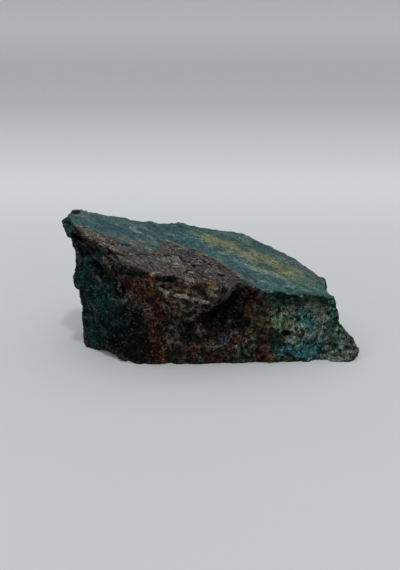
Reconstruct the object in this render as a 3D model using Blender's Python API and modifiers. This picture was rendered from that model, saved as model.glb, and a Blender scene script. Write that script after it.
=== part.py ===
"""Rough turquoise: one broken chunk of copper-stained rock, a low wedge lying on its flat bottom.

Its top is a slip face, the plane along which the rock split: nearly flat, dipping to the right.
A flaky shelf borders it at the front left. Every other side is rough fracture, with a ledge and a
recess at the front, an undercut left end and a rounded toe at the right.

The rough form is worked in millimetres, with X along the length, Y to the back and Z up, Y = 0 at
the front foot and Z = 0 at the bottom. Big blocks are hulled and joined, bites are taken out, the
whole is remeshed and chipped, and at the end it is cut flat, scaled to metres and centred.
"""

import math

import bmesh
import bpy
from mathutils import Matrix, Vector, noise

MM = 0.001

# The slip face: its height above the bottom at X = 0, Y = 0, and its dips, in mm per mm.
SLIP_HEIGHT = 31.7
SLIP_DIP_RIGHT = 0.238
SLIP_RISE_BACK = 0.12

# The slip face's outline as (X, Y), from the left tip along the back to the right shoulder.
SLIP_LEFT_TIP = (-55.7, 20.5)
SLIP_BACK_LEFT = (-54.0, 34.0)
SLIP_BACK = ((-27.0, 36.0), (-6.0, 43.0), (9.0, 46.0), (17.0, 42.8), (32.5, 31.5))
SLIP_RIGHT_CORNER = (41.0, 20.5)
SLIP_RIGHT_SHOULDER = (43.6, 7.8)

# Corners of the front edge, which lie a little under the slip face.
FRONT_EDGE = (
    (-38.7, 5.6, 41.0),
    (-32.5, -0.2, 37.0),
    (-22.0, -2.6, 35.8),
    (-7.0, 0.4, 33.0),
    (19.0, 0.8, 26.9),
    (30.0, 6.6, 25.2),
)

# The left tip is a slab that overhangs a neck: the front of its top, its underside, and the neck.
TIP_FRONT = ((-54.2, 14.8, 46.0), (-54.4, 16.0, 44.2))
TIP_UNDER = ((-51.6, 13.8, 39.6), (-51.0, 32.5, 39.2), (-36.0, 4.0, 36.0), (-30.0, 30.0, 34.0))
NECK = ((-51.4, 14.0, 39.4), (-50.8, 32.0, 39.4))

# The bottom's outline at Z = 0, from the left corner round the front, and how far down the blocks
# reach past it before the flat cut.
BOTTOM = (
    (-48.6, 14.0),
    (-35.6, 2.2),
    (-27.0, -2.2),
    (8.0, -0.2),
    (30.0, 0.6),
    (46.0, 0.4),
    (47.5, 10.0),
    (40.0, 22.0),
    (20.0, 37.0),
    (-4.0, 40.0),
    (-30.0, 34.0),
    (-45.6, 28.0),
)
BELOW = 5.0

# The ledge under the middle of the front edge. Its last four corners are inside the rock.
LEDGE = (
    (-20.0, -1.6, 34.6),
    (-19.5, -4.4, 29.5),
    (-19.0, -2.0, 17.5),
    (-9.5, -3.0, 17.5),
    (-5.0, -4.0, 19.8),
    (3.6, -4.4, 23.2),
    (5.6, -3.0, 27.6),
    (6.8, 0.4, 30.6),
    (-7.0, 0.0, 33.0),
    (-17.5, -5.2, 27.6),
    (-14.0, 9.0, 30.0),
    (2.0, 9.0, 27.0),
    (-14.0, 9.0, 20.0),
    (0.0, 9.0, 20.0),
)

# The toe that runs out at the right: its foot, its nose and its back, and its root in the rock.
TOE = (
    (51.8, 0.0, -BELOW),
    (53.6, 3.4, -BELOW),
    (52.0, 9.0, -BELOW),
    (53.8, 3.0, 2.2),
    (52.6, 3.6, 5.0),
    (50.2, 5.0, 8.2),
    (46.6, 6.0, 12.5),
    (48.0, 12.0, 8.0),
    (40.0, 0.6, -BELOW),
    (40.0, 3.0, 12.0),
    (38.0, 14.0, 6.0),
    (38.0, 14.0, -BELOW),
)

# Lumps and bites, each a faceted ellipsoid: name, centre, radii, turn about Z and tip in degrees.
LUMPS = (("left_shoulder", (-46.6, 13.4, 26.5), (5.6, 6.5, 5.4), (-35.0, 12.0)),)
BITES = (
    ("groove_bite", (-43.0, 8.0, 34.6), (10.5, 4.4, 3.2), (-37.0, 32.0)),
    ("corner_bite", (-33.4, 1.4, 30.5), (2.0, 2.8, 6.0), (-37.0, -14.0)),
    ("pit_bite", (26.2, 0.6, 10.8), (2.4, 2.2, 1.7), (0.0, 20.0)),
    ("notch_bite", (45.0, 14.4, 24.6), (4.2, 3.4, 3.2), (0.0, 14.0)),
    ("tip_bite", (-57.6, 26.6, 48.4), (3.4, 2.2, 2.4), (20.0, 0.0)),
    ("back_left_bite", (-34.0, 43.0, 20.0), (24.0, 9.0, 9.0), (6.0, 24.0)),
    ("back_middle_bite", (-1.0, 52.0, 11.0), (16.0, 12.0, 14.0), (0.0, 0.0)),
    ("back_right_bite", (36.0, 40.0, 20.0), (19.0, 12.0, 10.0), (-44.0, 26.0)),
)

# Two slabs broken out of the front, under the ledge. Each is deepest along one line and runs out
# to nothing along its edge. They are cut from well in front of the stone.
RECESS_DEEP = ((7.4, 3.6, 28.6), (4.6, 4.6, 23.4), (-3.6, 4.2, 18.8), (-9.0, 3.0, 16.2))
RECESS_EDGE = ((10.0, 0.4, 29.2), (24.0, -0.6, 23.0), (20.0, -0.8, 8.0), (4.0, -1.0, 4.5), (-12.0, -1.2, 7.0))
LOW_DEEP = ((-9.0, 2.2, 16.8), (-19.5, 1.4, 16.8))
LOW_EDGE = ((-4.0, -2.0, 8.0), (-22.5, -2.4, 12.0), (-16.0, -2.2, 2.5))
CLEAR_FRONT = -12.0

# The even mesh that is chipped, and about how many triangles it is thinned to before the flat cut.
VOXEL = 0.85
TRIANGLES = 12000

# The fracture's relief: broad swells, flat facets, chips and roughness, each with its size along
# the face and its height. The pattern wanders, so that no facet has a straight border.
SWELL_SIZE, SWELL_HEIGHT = 30.0, 1.3
FACET_SIZE, FACET_HEIGHT = 10.5, 2.1
CHIP_SIZE, CHIP_HEIGHT, CHIP_PATCH = 3.8, 0.6, 14.0
ROUGH_SIZE, ROUGH_HEIGHT = 2.4, 0.4
WANDER_SIZE, WANDER, WANDER_SEED = 5.0, 1.4, 7

# What counts as the slip face: a normal this near to its own, and a point this little under it.
SLIP_FACING, FACING_FADE = 0.86, 0.1
SLIP_DEPTH, DEPTH_FADE = 1.6, 0.8
SLIP_SWELL = 0.3

# The shelf lies in front of this Y, less where it tapers off to the right. Its flakes are layers
# parallel to the slip face: the first stands on it, and each next one in front is a step lower.
SHELF_BACK, SHELF_TAPER, SHELF_TAPER_FROM = 14.5, 0.3, -10.0
FLAKE_TOP, FLAKE_STEP, FLAKE_WIDTH, LAST_FLAKE = 0.6, 0.8, 5.5, 3
FLAKE_ROUGH_SIZE, FLAKE_ROUGH = 3.2, 0.25

STONE_COLOUR = (0.043, 0.075, 0.072, 1.0)
STONE_ROUGHNESS = 0.72


def clamp(value):
    return max(0.0, min(1.0, value))


def slip_height(x, y):
    return SLIP_HEIGHT - SLIP_DIP_RIGHT * x + SLIP_RISE_BACK * y


def slip_normal():
    return Vector((SLIP_DIP_RIGHT, -SLIP_RISE_BACK, 1.0)).normalized()


def on_slip(corners):
    return [(x, y, slip_height(x, y)) for x, y in corners]


def below(corners):
    """The bottom's corners, carried on down past the flat cut."""
    return [(x, y, -BELOW) for x, y in corners]


def in_front(corners):
    """The same corners carried forward, clear of the stone."""
    return [(x, CLEAR_FRONT, z) for x, _, z in corners]


def new_object(name, bm, collection):
    mesh = bpy.data.meshes.new(name)
    bm.to_mesh(mesh)
    bm.free()
    made = bpy.data.objects.new(name, mesh)
    collection.objects.link(made)
    return made


def hull(name, corners, collection):
    """The convex block that just holds these corners."""
    bm = bmesh.new()
    for corner in corners:
        bm.verts.new(corner)
    made = bmesh.ops.convex_hull(bm, input=bm.verts)
    inside = [item for item in made["geom_interior"] if isinstance(item, bmesh.types.BMVert)]
    bmesh.ops.delete(bm, geom=inside, context="VERTS")
    bmesh.ops.recalc_face_normals(bm, faces=bm.faces)
    return new_object(name, bm, collection)


def boulder(name, centre, radii, turn_deg, collection):
    """A faceted ellipsoid, tipped about Y and then turned about Z."""
    bm = bmesh.new()
    bmesh.ops.create_icosphere(bm, subdivisions=2, radius=1.0)
    about_z, about_y = (math.radians(angle) for angle in turn_deg)
    turn = Matrix.Rotation(about_z, 4, "Z") @ Matrix.Rotation(about_y, 4, "Y")
    bm.transform(Matrix.Translation(centre) @ turn @ Matrix.Diagonal((*radii, 1.0)))
    return new_object(name, bm, collection)


def make_blocks(collection):
    """The main wedge, and the pieces of rock that stand proud of it."""
    top = on_slip((*SLIP_BACK, SLIP_RIGHT_CORNER, SLIP_RIGHT_SHOULDER))
    tip_top = on_slip((SLIP_LEFT_TIP, SLIP_BACK_LEFT, SLIP_BACK[0]))
    blocks = [
        hull("main_block", (*top, *FRONT_EDGE, *NECK, *below(BOTTOM)), collection),
        hull("left_tip", (*tip_top, *FRONT_EDGE[:2], *TIP_FRONT, *TIP_UNDER), collection),
        hull("front_ledge", LEDGE, collection),
        hull("right_toe", TOE, collection),
    ]
    return blocks + [boulder(*lump, collection) for lump in LUMPS]


def make_bites(collection):
    """Where rock has broken away."""
    recess = (*RECESS_DEEP, *RECESS_EDGE)
    low = (*LOW_DEEP, *LOW_EDGE)
    slabs = [
        hull("recess_bite", (*recess, *in_front(recess)), collection),
        hull("low_bite", (*low, *in_front(low)), collection),
    ]
    return slabs + [boulder(*bite, collection) for bite in BITES]


def add_boolean(target, other, operation):
    cut = target.modifiers.new(other.name, "BOOLEAN")
    cut.operation = operation
    cut.solver = "EXACT"
    cut.object = other


def baked(source, name, collection):
    """A new object with the mesh that the source's modifiers make."""
    graph = bpy.context.evaluated_depsgraph_get()
    mesh = bpy.data.meshes.new_from_object(source.evaluated_get(graph))
    mesh.name = name
    made = bpy.data.objects.new(name, mesh)
    collection.objects.link(made)
    return made


def joined_form(blocks, bites, collection):
    """All the blocks as one, less the bites, with an even mesh."""
    main = blocks[0]
    for block in blocks[1:]:
        add_boolean(main, block, "UNION")
    for bite in bites:
        add_boolean(main, bite, "DIFFERENCE")
    remesh = main.modifiers.new("even_mesh", "REMESH")
    remesh.mode = "VOXEL"
    remesh.voxel_size = VOXEL
    return baked(main, "rough_form", collection)


def facets(point, size, seed):
    """A broken pattern, about -0.5 to 0.5: each cell is one flat face with a tilt of its own."""
    shifted = point / size + Vector((seed, seed * 0.7, -seed))
    nearest = noise.voronoi(shifted)[1][0]
    tilt = noise.cell_vector(nearest) - Vector((0.5, 0.5, 0.5))
    offset = noise.cell_vector(nearest * 1.7)[0] - 0.5
    return tilt.dot(shifted - nearest) * 0.9 + offset * 0.55


def slip_share(point, normal):
    """1 on the slip face and 0 on the fracture, going from one to the other over a short edge."""
    facing = (normal.dot(slip_normal()) - SLIP_FACING) / FACING_FADE
    depth = slip_height(point.x, point.y) - point.z
    return clamp(facing) * clamp((SLIP_DEPTH - depth) / DEPTH_FADE)


def shelf_depth(point):
    """How far a point lies in front of the shelf's back edge. The edge is ragged."""
    back_edge = SHELF_BACK - SHELF_TAPER * max(0.0, point.x - SHELF_TAPER_FROM)
    ragged = 2.4 * noise.noise(Vector((point.x / 9.0, point.y / 9.0, 0.3)))
    return back_edge + ragged - point.y


def fracture_relief(point):
    moved = point + noise.noise_vector(point / WANDER_SIZE) * WANDER
    patchy = 1.0 + 0.9 * noise.noise(point / CHIP_PATCH + Vector((2.0, 2.0, 7.0)))
    relief = SWELL_HEIGHT * noise.noise(point / SWELL_SIZE + Vector((5.0, 2.0, 9.0)))
    relief += FACET_HEIGHT * facets(moved, FACET_SIZE, 3.1)
    relief += CHIP_HEIGHT * patchy * facets(moved, CHIP_SIZE, 7.7)
    return relief + ROUGH_HEIGHT * noise.fractal(point / ROUGH_SIZE, 0.9, 2.1, 3)


def shelf_relief(point):
    """Broken layers going down towards the front in flat steps, here sharp and there worn."""
    depth = shelf_depth(point)
    if depth <= 0.0:
        return 0.0
    wander = 1.5 * noise.noise(point / 8.0 + Vector((3.0, 8.0, 1.0))) + 0.5 * noise.noise(point / 2.6)
    layer = min(LAST_FLAKE, max(0, math.floor(depth / FLAKE_WIDTH + wander)))
    stepped = FLAKE_TOP - FLAKE_STEP * layer
    sloped = FLAKE_TOP - FLAKE_STEP * depth / FLAKE_WIDTH
    worn = 0.5 + 0.5 * noise.noise(point / 12.0 + Vector((0.0, 6.0, 0.0)))
    rough = FLAKE_ROUGH * noise.fractal(point / FLAKE_ROUGH_SIZE, 0.9, 2.1, 2)
    return stepped + (sloped - stepped) * worn + rough


def slip_relief(point):
    """The slip face is almost flat, with a faint swell drawn out along the way it slid."""
    along = Vector((point.x * 0.05, point.y * 0.22, point.z * 0.05))
    return SLIP_SWELL * noise.noise(along + Vector((1.0, 4.0, 2.0)))


def one_piece(bm):
    """Drops any crumb that the bites cut free: only the piece with the most points stays."""
    pieces = []
    left = set(bm.verts)
    while left:
        piece = set()
        reached = {left.pop()}
        while reached:
            piece |= reached
            reached = {edge.other_vert(vertex) for vertex in reached for edge in vertex.link_edges}
            reached -= piece
        left -= piece
        pieces.append(piece)
    pieces.sort(key=len)
    crumbs = [vertex for vertex in bm.verts if vertex not in pieces[-1]]
    bmesh.ops.delete(bm, geom=crumbs, context="VERTS")


def chip_surface(form):
    """Moves the fracture along its normals, and the slip face and its shelf along theirs."""
    bm = bmesh.new()
    bm.from_mesh(form.data)
    one_piece(bm)
    bm.normal_update()
    moves = []
    for vertex in bm.verts:
        slip = slip_share(vertex.co, vertex.normal)
        layered = slip_normal() * (shelf_relief(vertex.co) + slip_relief(vertex.co))
        broken = vertex.normal * fracture_relief(vertex.co)
        moves.append(layered * slip + broken * (1.0 - slip))
    for vertex, move in zip(bm.verts, moves):
        vertex.co += move
    bm.to_mesh(form.data)
    bm.free()


def thinned(form, collection):
    """Fewer triangles where the face is flat, and most of them where it is broken."""
    count = sum(len(polygon.vertices) - 2 for polygon in form.data.polygons)
    decimate = form.modifiers.new("fewer_triangles", "DECIMATE")
    decimate.ratio = TRIANGLES / count
    return baked(form, "thinned_form", collection)


def cut_flat(bm):
    """Takes off what is under Z = 0, and closes the bottom with one flat face."""
    everything = list(bm.verts) + list(bm.edges) + list(bm.faces)
    cut = bmesh.ops.bisect_plane(
        bm,
        geom=everything,
        dist=0.02,
        plane_co=(0.0, 0.0, 0.0),
        plane_no=(0.0, 0.0, 1.0),
        clear_inner=True,
    )
    rim = [item for item in cut["geom_cut"] if isinstance(item, bmesh.types.BMEdge)]
    bmesh.ops.holes_fill(bm, edges=rim, sides=0)
    bmesh.ops.triangulate(bm, faces=[face for face in bm.faces if len(face.verts) > 3])


def centre_on_bottom(bm):
    """Scales to metres, with the origin at the middle of the bounding box's bottom."""
    xs = [vertex.co.x for vertex in bm.verts]
    ys = [vertex.co.y for vertex in bm.verts]
    middle = Vector(((min(xs) + max(xs)) / 2, (min(ys) + max(ys)) / 2, 0.0))
    print("middle of the rough form, mm:", [round(part, 2) for part in middle])
    bmesh.ops.translate(bm, verts=bm.verts, vec=-middle)
    bmesh.ops.scale(bm, verts=bm.verts, vec=(MM, MM, MM))


def stone_material():
    material = bpy.data.materials.new("copper_stained_rock")
    material.use_nodes = True
    shader = material.node_tree.nodes["Principled BSDF"]
    shader.inputs["Base Color"].default_value = STONE_COLOUR
    shader.inputs["Roughness"].default_value = STONE_ROUGHNESS
    shader.inputs["Metallic"].default_value = 0.0
    return material


def make_stone(form, collection):
    bm = bmesh.new()
    bm.from_mesh(form.data)
    cut_flat(bm)
    one_piece(bm)
    centre_on_bottom(bm)
    bmesh.ops.recalc_face_normals(bm, faces=bm.faces)
    stone = new_object("turquoise_stone", bm, collection)
    stone.data.materials.append(stone_material())
    return stone


def new_collection(name):
    made = bpy.data.collections.new(name)
    bpy.context.scene.collection.children.link(made)
    return made


def hide(helpers):
    for helper in helpers:
        helper.hide_render = True
        helper.display_type = "WIRE"


def main():
    for old in list(bpy.data.objects):
        bpy.data.objects.remove(old)
    noise.seed_set(WANDER_SEED)
    parts = new_collection("rough_turquoise")
    helpers = new_collection("cutters")
    blocks = make_blocks(helpers)
    bites = make_bites(helpers)
    form = joined_form(blocks, bites, helpers)
    chip_surface(form)
    fewer = thinned(form, helpers)
    stone = make_stone(fewer, parts)
    hide(blocks + bites + [form, fewer])
    print("triangles:", len(stone.data.polygons))
    print("size, mm:", [round(side / MM, 1) for side in stone.dimensions])


main()
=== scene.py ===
# %% [markdown]
# # A chunk of rough turquoise
# Turquoise stone often leaves the ground like this: a block of copper ore that broke along an old fault.
# The fault left one flat side, a slip face, rubbed smooth by the two walls sliding past each other and
# stained blue-green by copper. Every other side is a fresh break: dark rock full of pale grains, with
# rust, limonite, cuprite, malachite and chrysocolla between them.
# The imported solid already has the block's true shape. This lesson gives it fine relief and its minerals.

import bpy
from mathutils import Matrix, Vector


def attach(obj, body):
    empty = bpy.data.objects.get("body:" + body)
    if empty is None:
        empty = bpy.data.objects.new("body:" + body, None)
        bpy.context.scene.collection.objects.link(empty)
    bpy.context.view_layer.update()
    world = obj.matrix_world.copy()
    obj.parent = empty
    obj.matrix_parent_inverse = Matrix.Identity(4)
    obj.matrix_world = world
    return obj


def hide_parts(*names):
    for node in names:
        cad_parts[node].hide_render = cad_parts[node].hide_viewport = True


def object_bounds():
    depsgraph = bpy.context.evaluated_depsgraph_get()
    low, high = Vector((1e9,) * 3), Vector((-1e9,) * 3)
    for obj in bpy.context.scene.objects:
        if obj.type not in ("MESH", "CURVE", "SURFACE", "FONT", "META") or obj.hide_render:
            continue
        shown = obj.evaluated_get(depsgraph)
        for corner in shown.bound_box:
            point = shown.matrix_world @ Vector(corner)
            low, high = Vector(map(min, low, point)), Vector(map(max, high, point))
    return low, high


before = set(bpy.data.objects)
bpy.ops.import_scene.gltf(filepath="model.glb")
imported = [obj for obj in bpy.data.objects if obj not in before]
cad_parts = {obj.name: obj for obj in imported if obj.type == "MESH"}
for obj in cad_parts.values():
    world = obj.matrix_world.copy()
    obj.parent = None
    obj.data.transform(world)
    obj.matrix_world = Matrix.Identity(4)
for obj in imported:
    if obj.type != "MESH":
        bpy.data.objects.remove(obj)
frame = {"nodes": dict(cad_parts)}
cad_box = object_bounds()
print("nodes in the frame:", ", ".join(frame["nodes"]))

# %% [markdown]
# ## Units and tools
# Blender measures in metres. Rock detail is easier to think of in millimetres, so every size below is in
# millimetres and turns into metres only when it reaches Blender. Marks that are given as places in the
# camera's frame are the one exception. numpy moves all the points at once.

# %% Units and tools
import math

import bpy
import numpy as np
from mathutils import Vector, noise
from mathutils.bvhtree import BVHTree

MM = 0.001
noise.seed_set(7)
solid = frame["nodes"]["turquoise_stone"]
low, high = (np.array(corner) / MM for corner in cad_box)
SIZE = high - low
print("packed stone, mm:", np.round(SIZE, 1), "triangles:", len(solid.data.polygons))

# %% [markdown]
# ## The camera
# The stone is seen straight on, from a little above, as a hand-held camera sees a thing on a table.
# A camera empty with a Track To constraint would also aim it; a direction vector turned into a rotation
# says the same in one line and leaves nothing extra in the scene.

# %% Camera
AIM = Vector((-3.64, 8.0, 19.0))
ELEVATION = math.radians(21.0)
DISTANCE = 292.0
LENS = 47.37
back = Vector((0.0, -math.cos(ELEVATION), math.sin(ELEVATION)))
eye = AIM + back * DISTANCE
camera = bpy.data.objects.new("camera", bpy.data.cameras.new("camera"))
camera.location = eye * MM
camera.rotation_euler = (-back).to_track_quat("-Z", "Y").to_euler()
camera.data.lens = LENS
camera.data.clip_start = 0.01
bpy.context.scene.collection.objects.link(camera)
bpy.context.scene.camera = camera
print("camera at, mm:", [round(c / MM) for c in camera.location])

# %% [markdown]
# ## Marks placed in the camera's frame
# A stain or a crack is given by its place: so many pixels to the right of the frame's top left
# corner, and so many below it, in a frame of 400 by 570. A ray from the camera through that place meets
# the imported stone in the point that is wanted. Grease Pencil can draw on a surface by hand, but these places
# can be read and moved one by one. Once found, the points belong to the stone and stay where they are when
# the camera moves. A tenth of a millimetre is fine enough for them.

# %% From a place in the frame to a point on the stone
FRAME_WIDE, FRAME_HIGH, SENSOR = 400, 570, 36.0
FRAME_AHEAD = round(LENS / SENSOR * FRAME_HIGH)
rightward = Vector((1.0, 0.0, 0.0))
downward = rightward.cross(back)
facets = BVHTree.FromPolygons([corner.co / MM for corner in solid.data.vertices],
                              [facet.vertices for facet in solid.data.polygons])


def on_stone(places):
    """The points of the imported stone, in mm, that the camera sees at these places of its frame. A place
    beside the stone gives none."""
    spots = []
    for across, down in places:
        sideways = rightward * (across - FRAME_WIDE / 2) + downward * (down - FRAME_HIGH / 2)
        spot = facets.ray_cast(eye, sideways - back * FRAME_AHEAD)[0]
        if spot is not None:
            spots.append([round(c, 1) for c in spot])
    return spots


print("the middle of the frame shows the stone at, mm:", on_stone([(FRAME_WIDE / 2, FRAME_HIGH / 2)])[0])

# %% [markdown]
# ## A finer copy of the stone
# The solid has triangles of one to two millimetres, which is coarse for broken rock. Subdividing would keep
# their flat facets. A voxel remesh lays one even grid of small squares over the whole skin instead,
# and such a grid takes relief equally well everywhere.

# %% Remesh
GRID = 0.48
stone = bpy.data.objects.new("rough_turquoise_stone", solid.data.copy())
bpy.context.scene.collection.objects.link(stone)
weld = stone.modifiers.new("one skin", "WELD")
weld.merge_threshold = 0.001 * MM
remesh = stone.modifiers.new("fine grid", "REMESH")
remesh.mode = "VOXEL"
remesh.voxel_size = GRID * MM
graph = bpy.context.evaluated_depsgraph_get()
skin = bpy.data.meshes.new_from_object(stone.evaluated_get(graph))
stone.modifiers.clear()
stone.data = skin
skin.name = "rough_turquoise_stone"
skin.materials.clear()
print("fine grid:", len(skin.vertices), "points,", len(skin.polygons), "squares")

# %% [markdown]
# ## Helpers for points
# The relief is worked out for all points together. Three things are needed again and again: soft random
# hills of a given width, a soft step between two values, and a way to blur a value over the skin by
# averaging each point with its neighbours.

# %% Points and their neighbours
def read(items, field, width, kind=float):
    """One field of every vertex or edge, as an array of rows."""
    flat = np.empty(len(items) * width, kind)
    items.foreach_get(field, flat)
    return flat.reshape(-1, width)


points = read(skin.vertices, "co", 3) / MM
ends = read(skin.edges, "vertices", 2, np.int32)
neighbours = np.bincount(ends.ravel(), minlength=len(points))


def blurred(values, rounds):
    """The values after each point has been averaged with its neighbours that many times."""
    for _ in range(rounds):
        total = values.copy()
        for column in range(values.shape[1]):
            for here, there in ((0, 1), (1, 0)):
                total[:, column] += np.bincount(
                    ends[:, here], values[ends[:, there], column], len(points))
        values = total / (neighbours + 1)[:, None]
    return values


print("edges:", len(ends), "and neighbours of a point: %d to %d" % (neighbours.min(), neighbours.max()))

# %% Soft hills and soft steps
SEED_STEP, HILL_GAIN = 13.7, 1.6


def hills(size, seed, where=None):
    """Soft random hills about `size` mm wide, from about -1 to 1, the same on every run."""
    spots = (points if where is None else where) / size + SEED_STEP * seed
    return np.array([noise.noise(Vector(spot)) for spot in spots.tolist()]) * HILL_GAIN


def step(start, end, values):
    """0 before `start`, 1 after `end`, and a soft ramp between them. They may be given either way round."""
    ramp = np.clip((values - start) / (end - start), 0, 1)
    return ramp * ramp * (3 - 2 * ramp)


def normals_of():
    """The skin's normals, after the points so far have been put on it."""
    skin.vertices.foreach_set("co", (points * MM).ravel())
    skin.update()
    return read(skin.vertex_normals, "vector", 3)


print("a soft step at 0, 1/4, 1/2 and 1 of its way:", step(0, 1, np.array([0, 0.25, 0.5, 1])).round(3))

# %% [markdown]
# ## Round off the facets
# A few rounds of averaging melt the solid's facets into each other. Too many would shrink the stone and
# round its edges, so it stops while the slip face still ends in a crisp rim. Averaging always eats a little
# off the outside, and a small swell along the normals gives it back.

# %% Soften and swell
SOFTEN_ROUNDS, SWELL = 2, 0.28
points = blurred(points, SOFTEN_ROUNDS)
normals = normals_of()
points = points + SWELL * normals
print("height after softening, mm:", round(float(np.ptp(points[:, 2])), 2))

# %% [markdown]
# ## Strokes
# Many marks on this stone have a place of their own, so they are drawn as strokes: a path in millimetres
# and a radius. How near a point lies to the path says how strongly the stroke acts on it. The same idea
# bends the outline, cuts cracks and, later, lays down the minerals. Each pull below is a shift, a radius and
# a path: it moves the skin where the real stone stands out further, or less far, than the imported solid.

# %% Nearness to a path
def nearness(path, radius, where=None):
    """1 on the path, falling to 0 at `radius` mm from it."""
    spots = points if where is None else where
    corners = np.array(path, float)
    nearest = np.full(len(spots), np.inf)
    for start, end in zip(corners[:-1], corners[1:]):
        run = end - start
        share = np.clip((spots - start) @ run / (run @ run), 0, 1)
        nearest = np.minimum(nearest, np.linalg.norm(spots - start - share[:, None] * run, axis=1))
    return np.clip(1 - nearest / radius, 0, 1)


print("points within 5 mm of the top left tip:", int((nearness([(-53, 3, 47)], 5.0) > 0).sum()))

# %% Pull the outline
PULLS = [
    ((0.7, 1.3, -0.02), 9.0, [(12.3, 21.9, 34.2), (25.8, 15.2, 30.1), (36.5, 5.4, 26.2), (41.0, -1.5, 24.4)]),
    ((0.7, 0.0, 0.0), 3.6, [(44.4, -12.0, 18.5), (44.6, -12.0, 16.5)]),
    ((1.5, 0.0, 0.0), 3.6, [(45.4, -12.4, 14.3), (46.2, -12.8, 12.6)]),
    ((0.2, 0.0, 0.7), 2.6, [(-53.4, 3.4, 47.0), (-53.0, 1.0, 46.8)]),
    ((0.7, 0.0, 0.1), 2.4, [(53.2, -16.0, 6.2), (53.7, -16.6, 5.2)]),
    ((1.5, 0.0, 0.0), 3.2, [(-49.8, -5.0, 36.0), (-49.8, -4.6, 32.8)]),
    ((-0.9, 0.0, 0.0), 2.4, [(-49.3, -7.4, 30.4), (-49.6, -6.4, 28.8)]),
    ((1.4, 0.0, 0.0), 2.6, [(-50.8, -5.8, 42.0), (-50.4, -6.0, 40.2)]),
    ((-0.9, 0.0, 0.0), 3.0, [(43.8, -1.6, 23.4), (44.2, -4.8, 21.8)]),
    ((0.5, 0.0, 0.0), 5.0, [(-47.4, -7.5, 17.0), (-47.4, -6.6, 6.4)]),
    ((-1.3, 0.0, -0.5), 3.6, [(43.9, -6.5, 22.8), (45.0, -9.5, 21.6)]),
    ((-0.3, 0.0, -0.4), 3.6, [(46.4, -13.2, 12.4), (48.2, -13.8, 10.8), (49.6, -14.4, 9.6)]),
    ((0.4, -1.5, -0.5), 5.0, [(46.0, -19.0, 1.0), (50.5, -18.6, 1.2)]),
    ((2.9, 0.0, 0.0), 3.6, [(-50.0, -6.6, 26.0), (-49.6, -7.4, 24.4), (-48.6, -8.4, 23.4)]),
    ((0.9, 1.7, 1.5), 4.4, [(-40.0, -14.5, 0.3), (-37.5, -16.6, 0.3), (-35.9, -17.1, 0.3)]),
]
for pull, radius, path in PULLS:
    points = points + step(0, 1, nearness(path, radius))[:, None] * pull
print("outline after the pulls, mm:", np.round(np.ptp(points, axis=0), 2))

# %% [markdown]
# ## Three kinds of ground
# The slip face is a plane that leans down to the right and a little to the front. Along its front edge a
# band of the rubbed layer has flaked off: the shelf. All else is broken rock. Two numbers tell them apart
# at any point: how deep it lies under the slip plane, and how far it is in front of the flaked border.
# At the left the rubbed skin thins out slowly, and at the right it ends in a crisp leaf. Rubbed skin and
# shelf are both gone from the left corner, where the rock is crushed. The border is a row of places in the
# camera's frame, carried on past both ends of the stone. The rest is in millimetres.

# %% Slip plane and flaked border
SLIP_HEIGHT, SLIP_FALL_X, SLIP_RISE_Y = 34.33, 0.238, 0.12
SLIP_END_X = 44.6
slip_up = np.array([SLIP_FALL_X, -SLIP_RISE_Y, 1.0])
slip_up /= np.linalg.norm(slip_up)
BORDER = [(66, 221), (75, 225.6), (88, 228.5), (98, 232), (105, 236), (113, 240), (120, 243), (128, 246),
          (136, 250), (143, 252), (150, 252), (156, 250), (159, 246), (161, 243), (166, 241), (172, 243),
          (180, 248), (190, 250), (198, 252), (205, 256), (215, 261), (225, 268), (235, 275), (244, 281),
          (250, 285)]
BEFORE_LEFT_END, PAST_FRONT = (-56, 3.5, 0), (26, -24, 0)
THINNING = [(-50, 2.6), (-30, 2.8), (-22, 1.6), (-18, 0.5), (10, 0.5), (20, 1.0)]
LEFT_EDGE = [(-50.1, -3.0), (-48.4, -4.9), (-44.6, -9.0), (-41.0, -10.2), (-37.9, -12.1), (-34.7, -13.6),
             (-32.4, -16.2), (-30.9, -20.8), (-29.0, -26.0)]
depth = (SLIP_HEIGHT - SLIP_FALL_X * points[:, 0] + SLIP_RISE_Y * points[:, 1] - points[:, 2]) * slip_up[2]
border = np.array([BEFORE_LEFT_END, *on_stone(BORDER), PAST_FRONT])
ahead = np.interp(points[:, 0], border[:, 0], border[:, 1]) - points[:, 1]
thin = np.interp(points[:, 0], *np.array(THINNING).T)
facing = normals @ slip_up
ragged = 0.7 * hills(3.2, 1) + 0.3 * hills(1.2, 2)
on_slip = (step(1.3, 0.5, depth) * step(0.55, 0.85, facing) * step(1, -1, (ahead + ragged) / thin)
           * step(SLIP_END_X + 0.6, SLIP_END_X - 0.6, points[:, 0] + ragged))
BARE = [(2.3, [(-52.2, 9.4, 47.6), (-50.3, 10.2, 47.4)]),
        (2.8, [(-54.2, 5.5, 47.2), (-53.6, 2.0, 46.8), (-52.0, -1.5, 46.2), (-50.6, -4.8, 45.4)])]
gone = np.max([step(0.1, 0.5, nearness(path, radius) + 0.1 * ragged) for radius, path in BARE], axis=0)
on_slip *= 1 - gone
behind = points[:, 1] - np.interp(points[:, 0], *np.array(LEFT_EDGE).T) + 0.6 * ragged
on_shelf = (step(5.5, 4.0, depth) * step(0.70, 0.88, facing) * (1 - on_slip) * step(-2.5, 0.0, ahead + ragged)
            * step(-0.5, 0.5, behind) * (1 - gone) * step(-50.0, -48.4, points[:, 0] + ragged))
broken = np.clip(1 - on_slip - on_shelf, 0, 1)
print("share of points: slip %.2f, shelf %.2f, broken %.2f" % (on_slip.mean(), on_shelf.mean(), broken.mean()))

# %% [markdown]
# ## Relief of the broken sides
# Broken ore shows small flat breaks that meet in sharp creases. A cell pattern gives them: every cell
# becomes a little plane with its own lean, large ones of five to six millimetres with small ones of two on
# them. Finer crumbs and wide soft lumps lie over both. Along the right end of the slip face the break is
# clean, so the relief calms down there.

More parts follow.
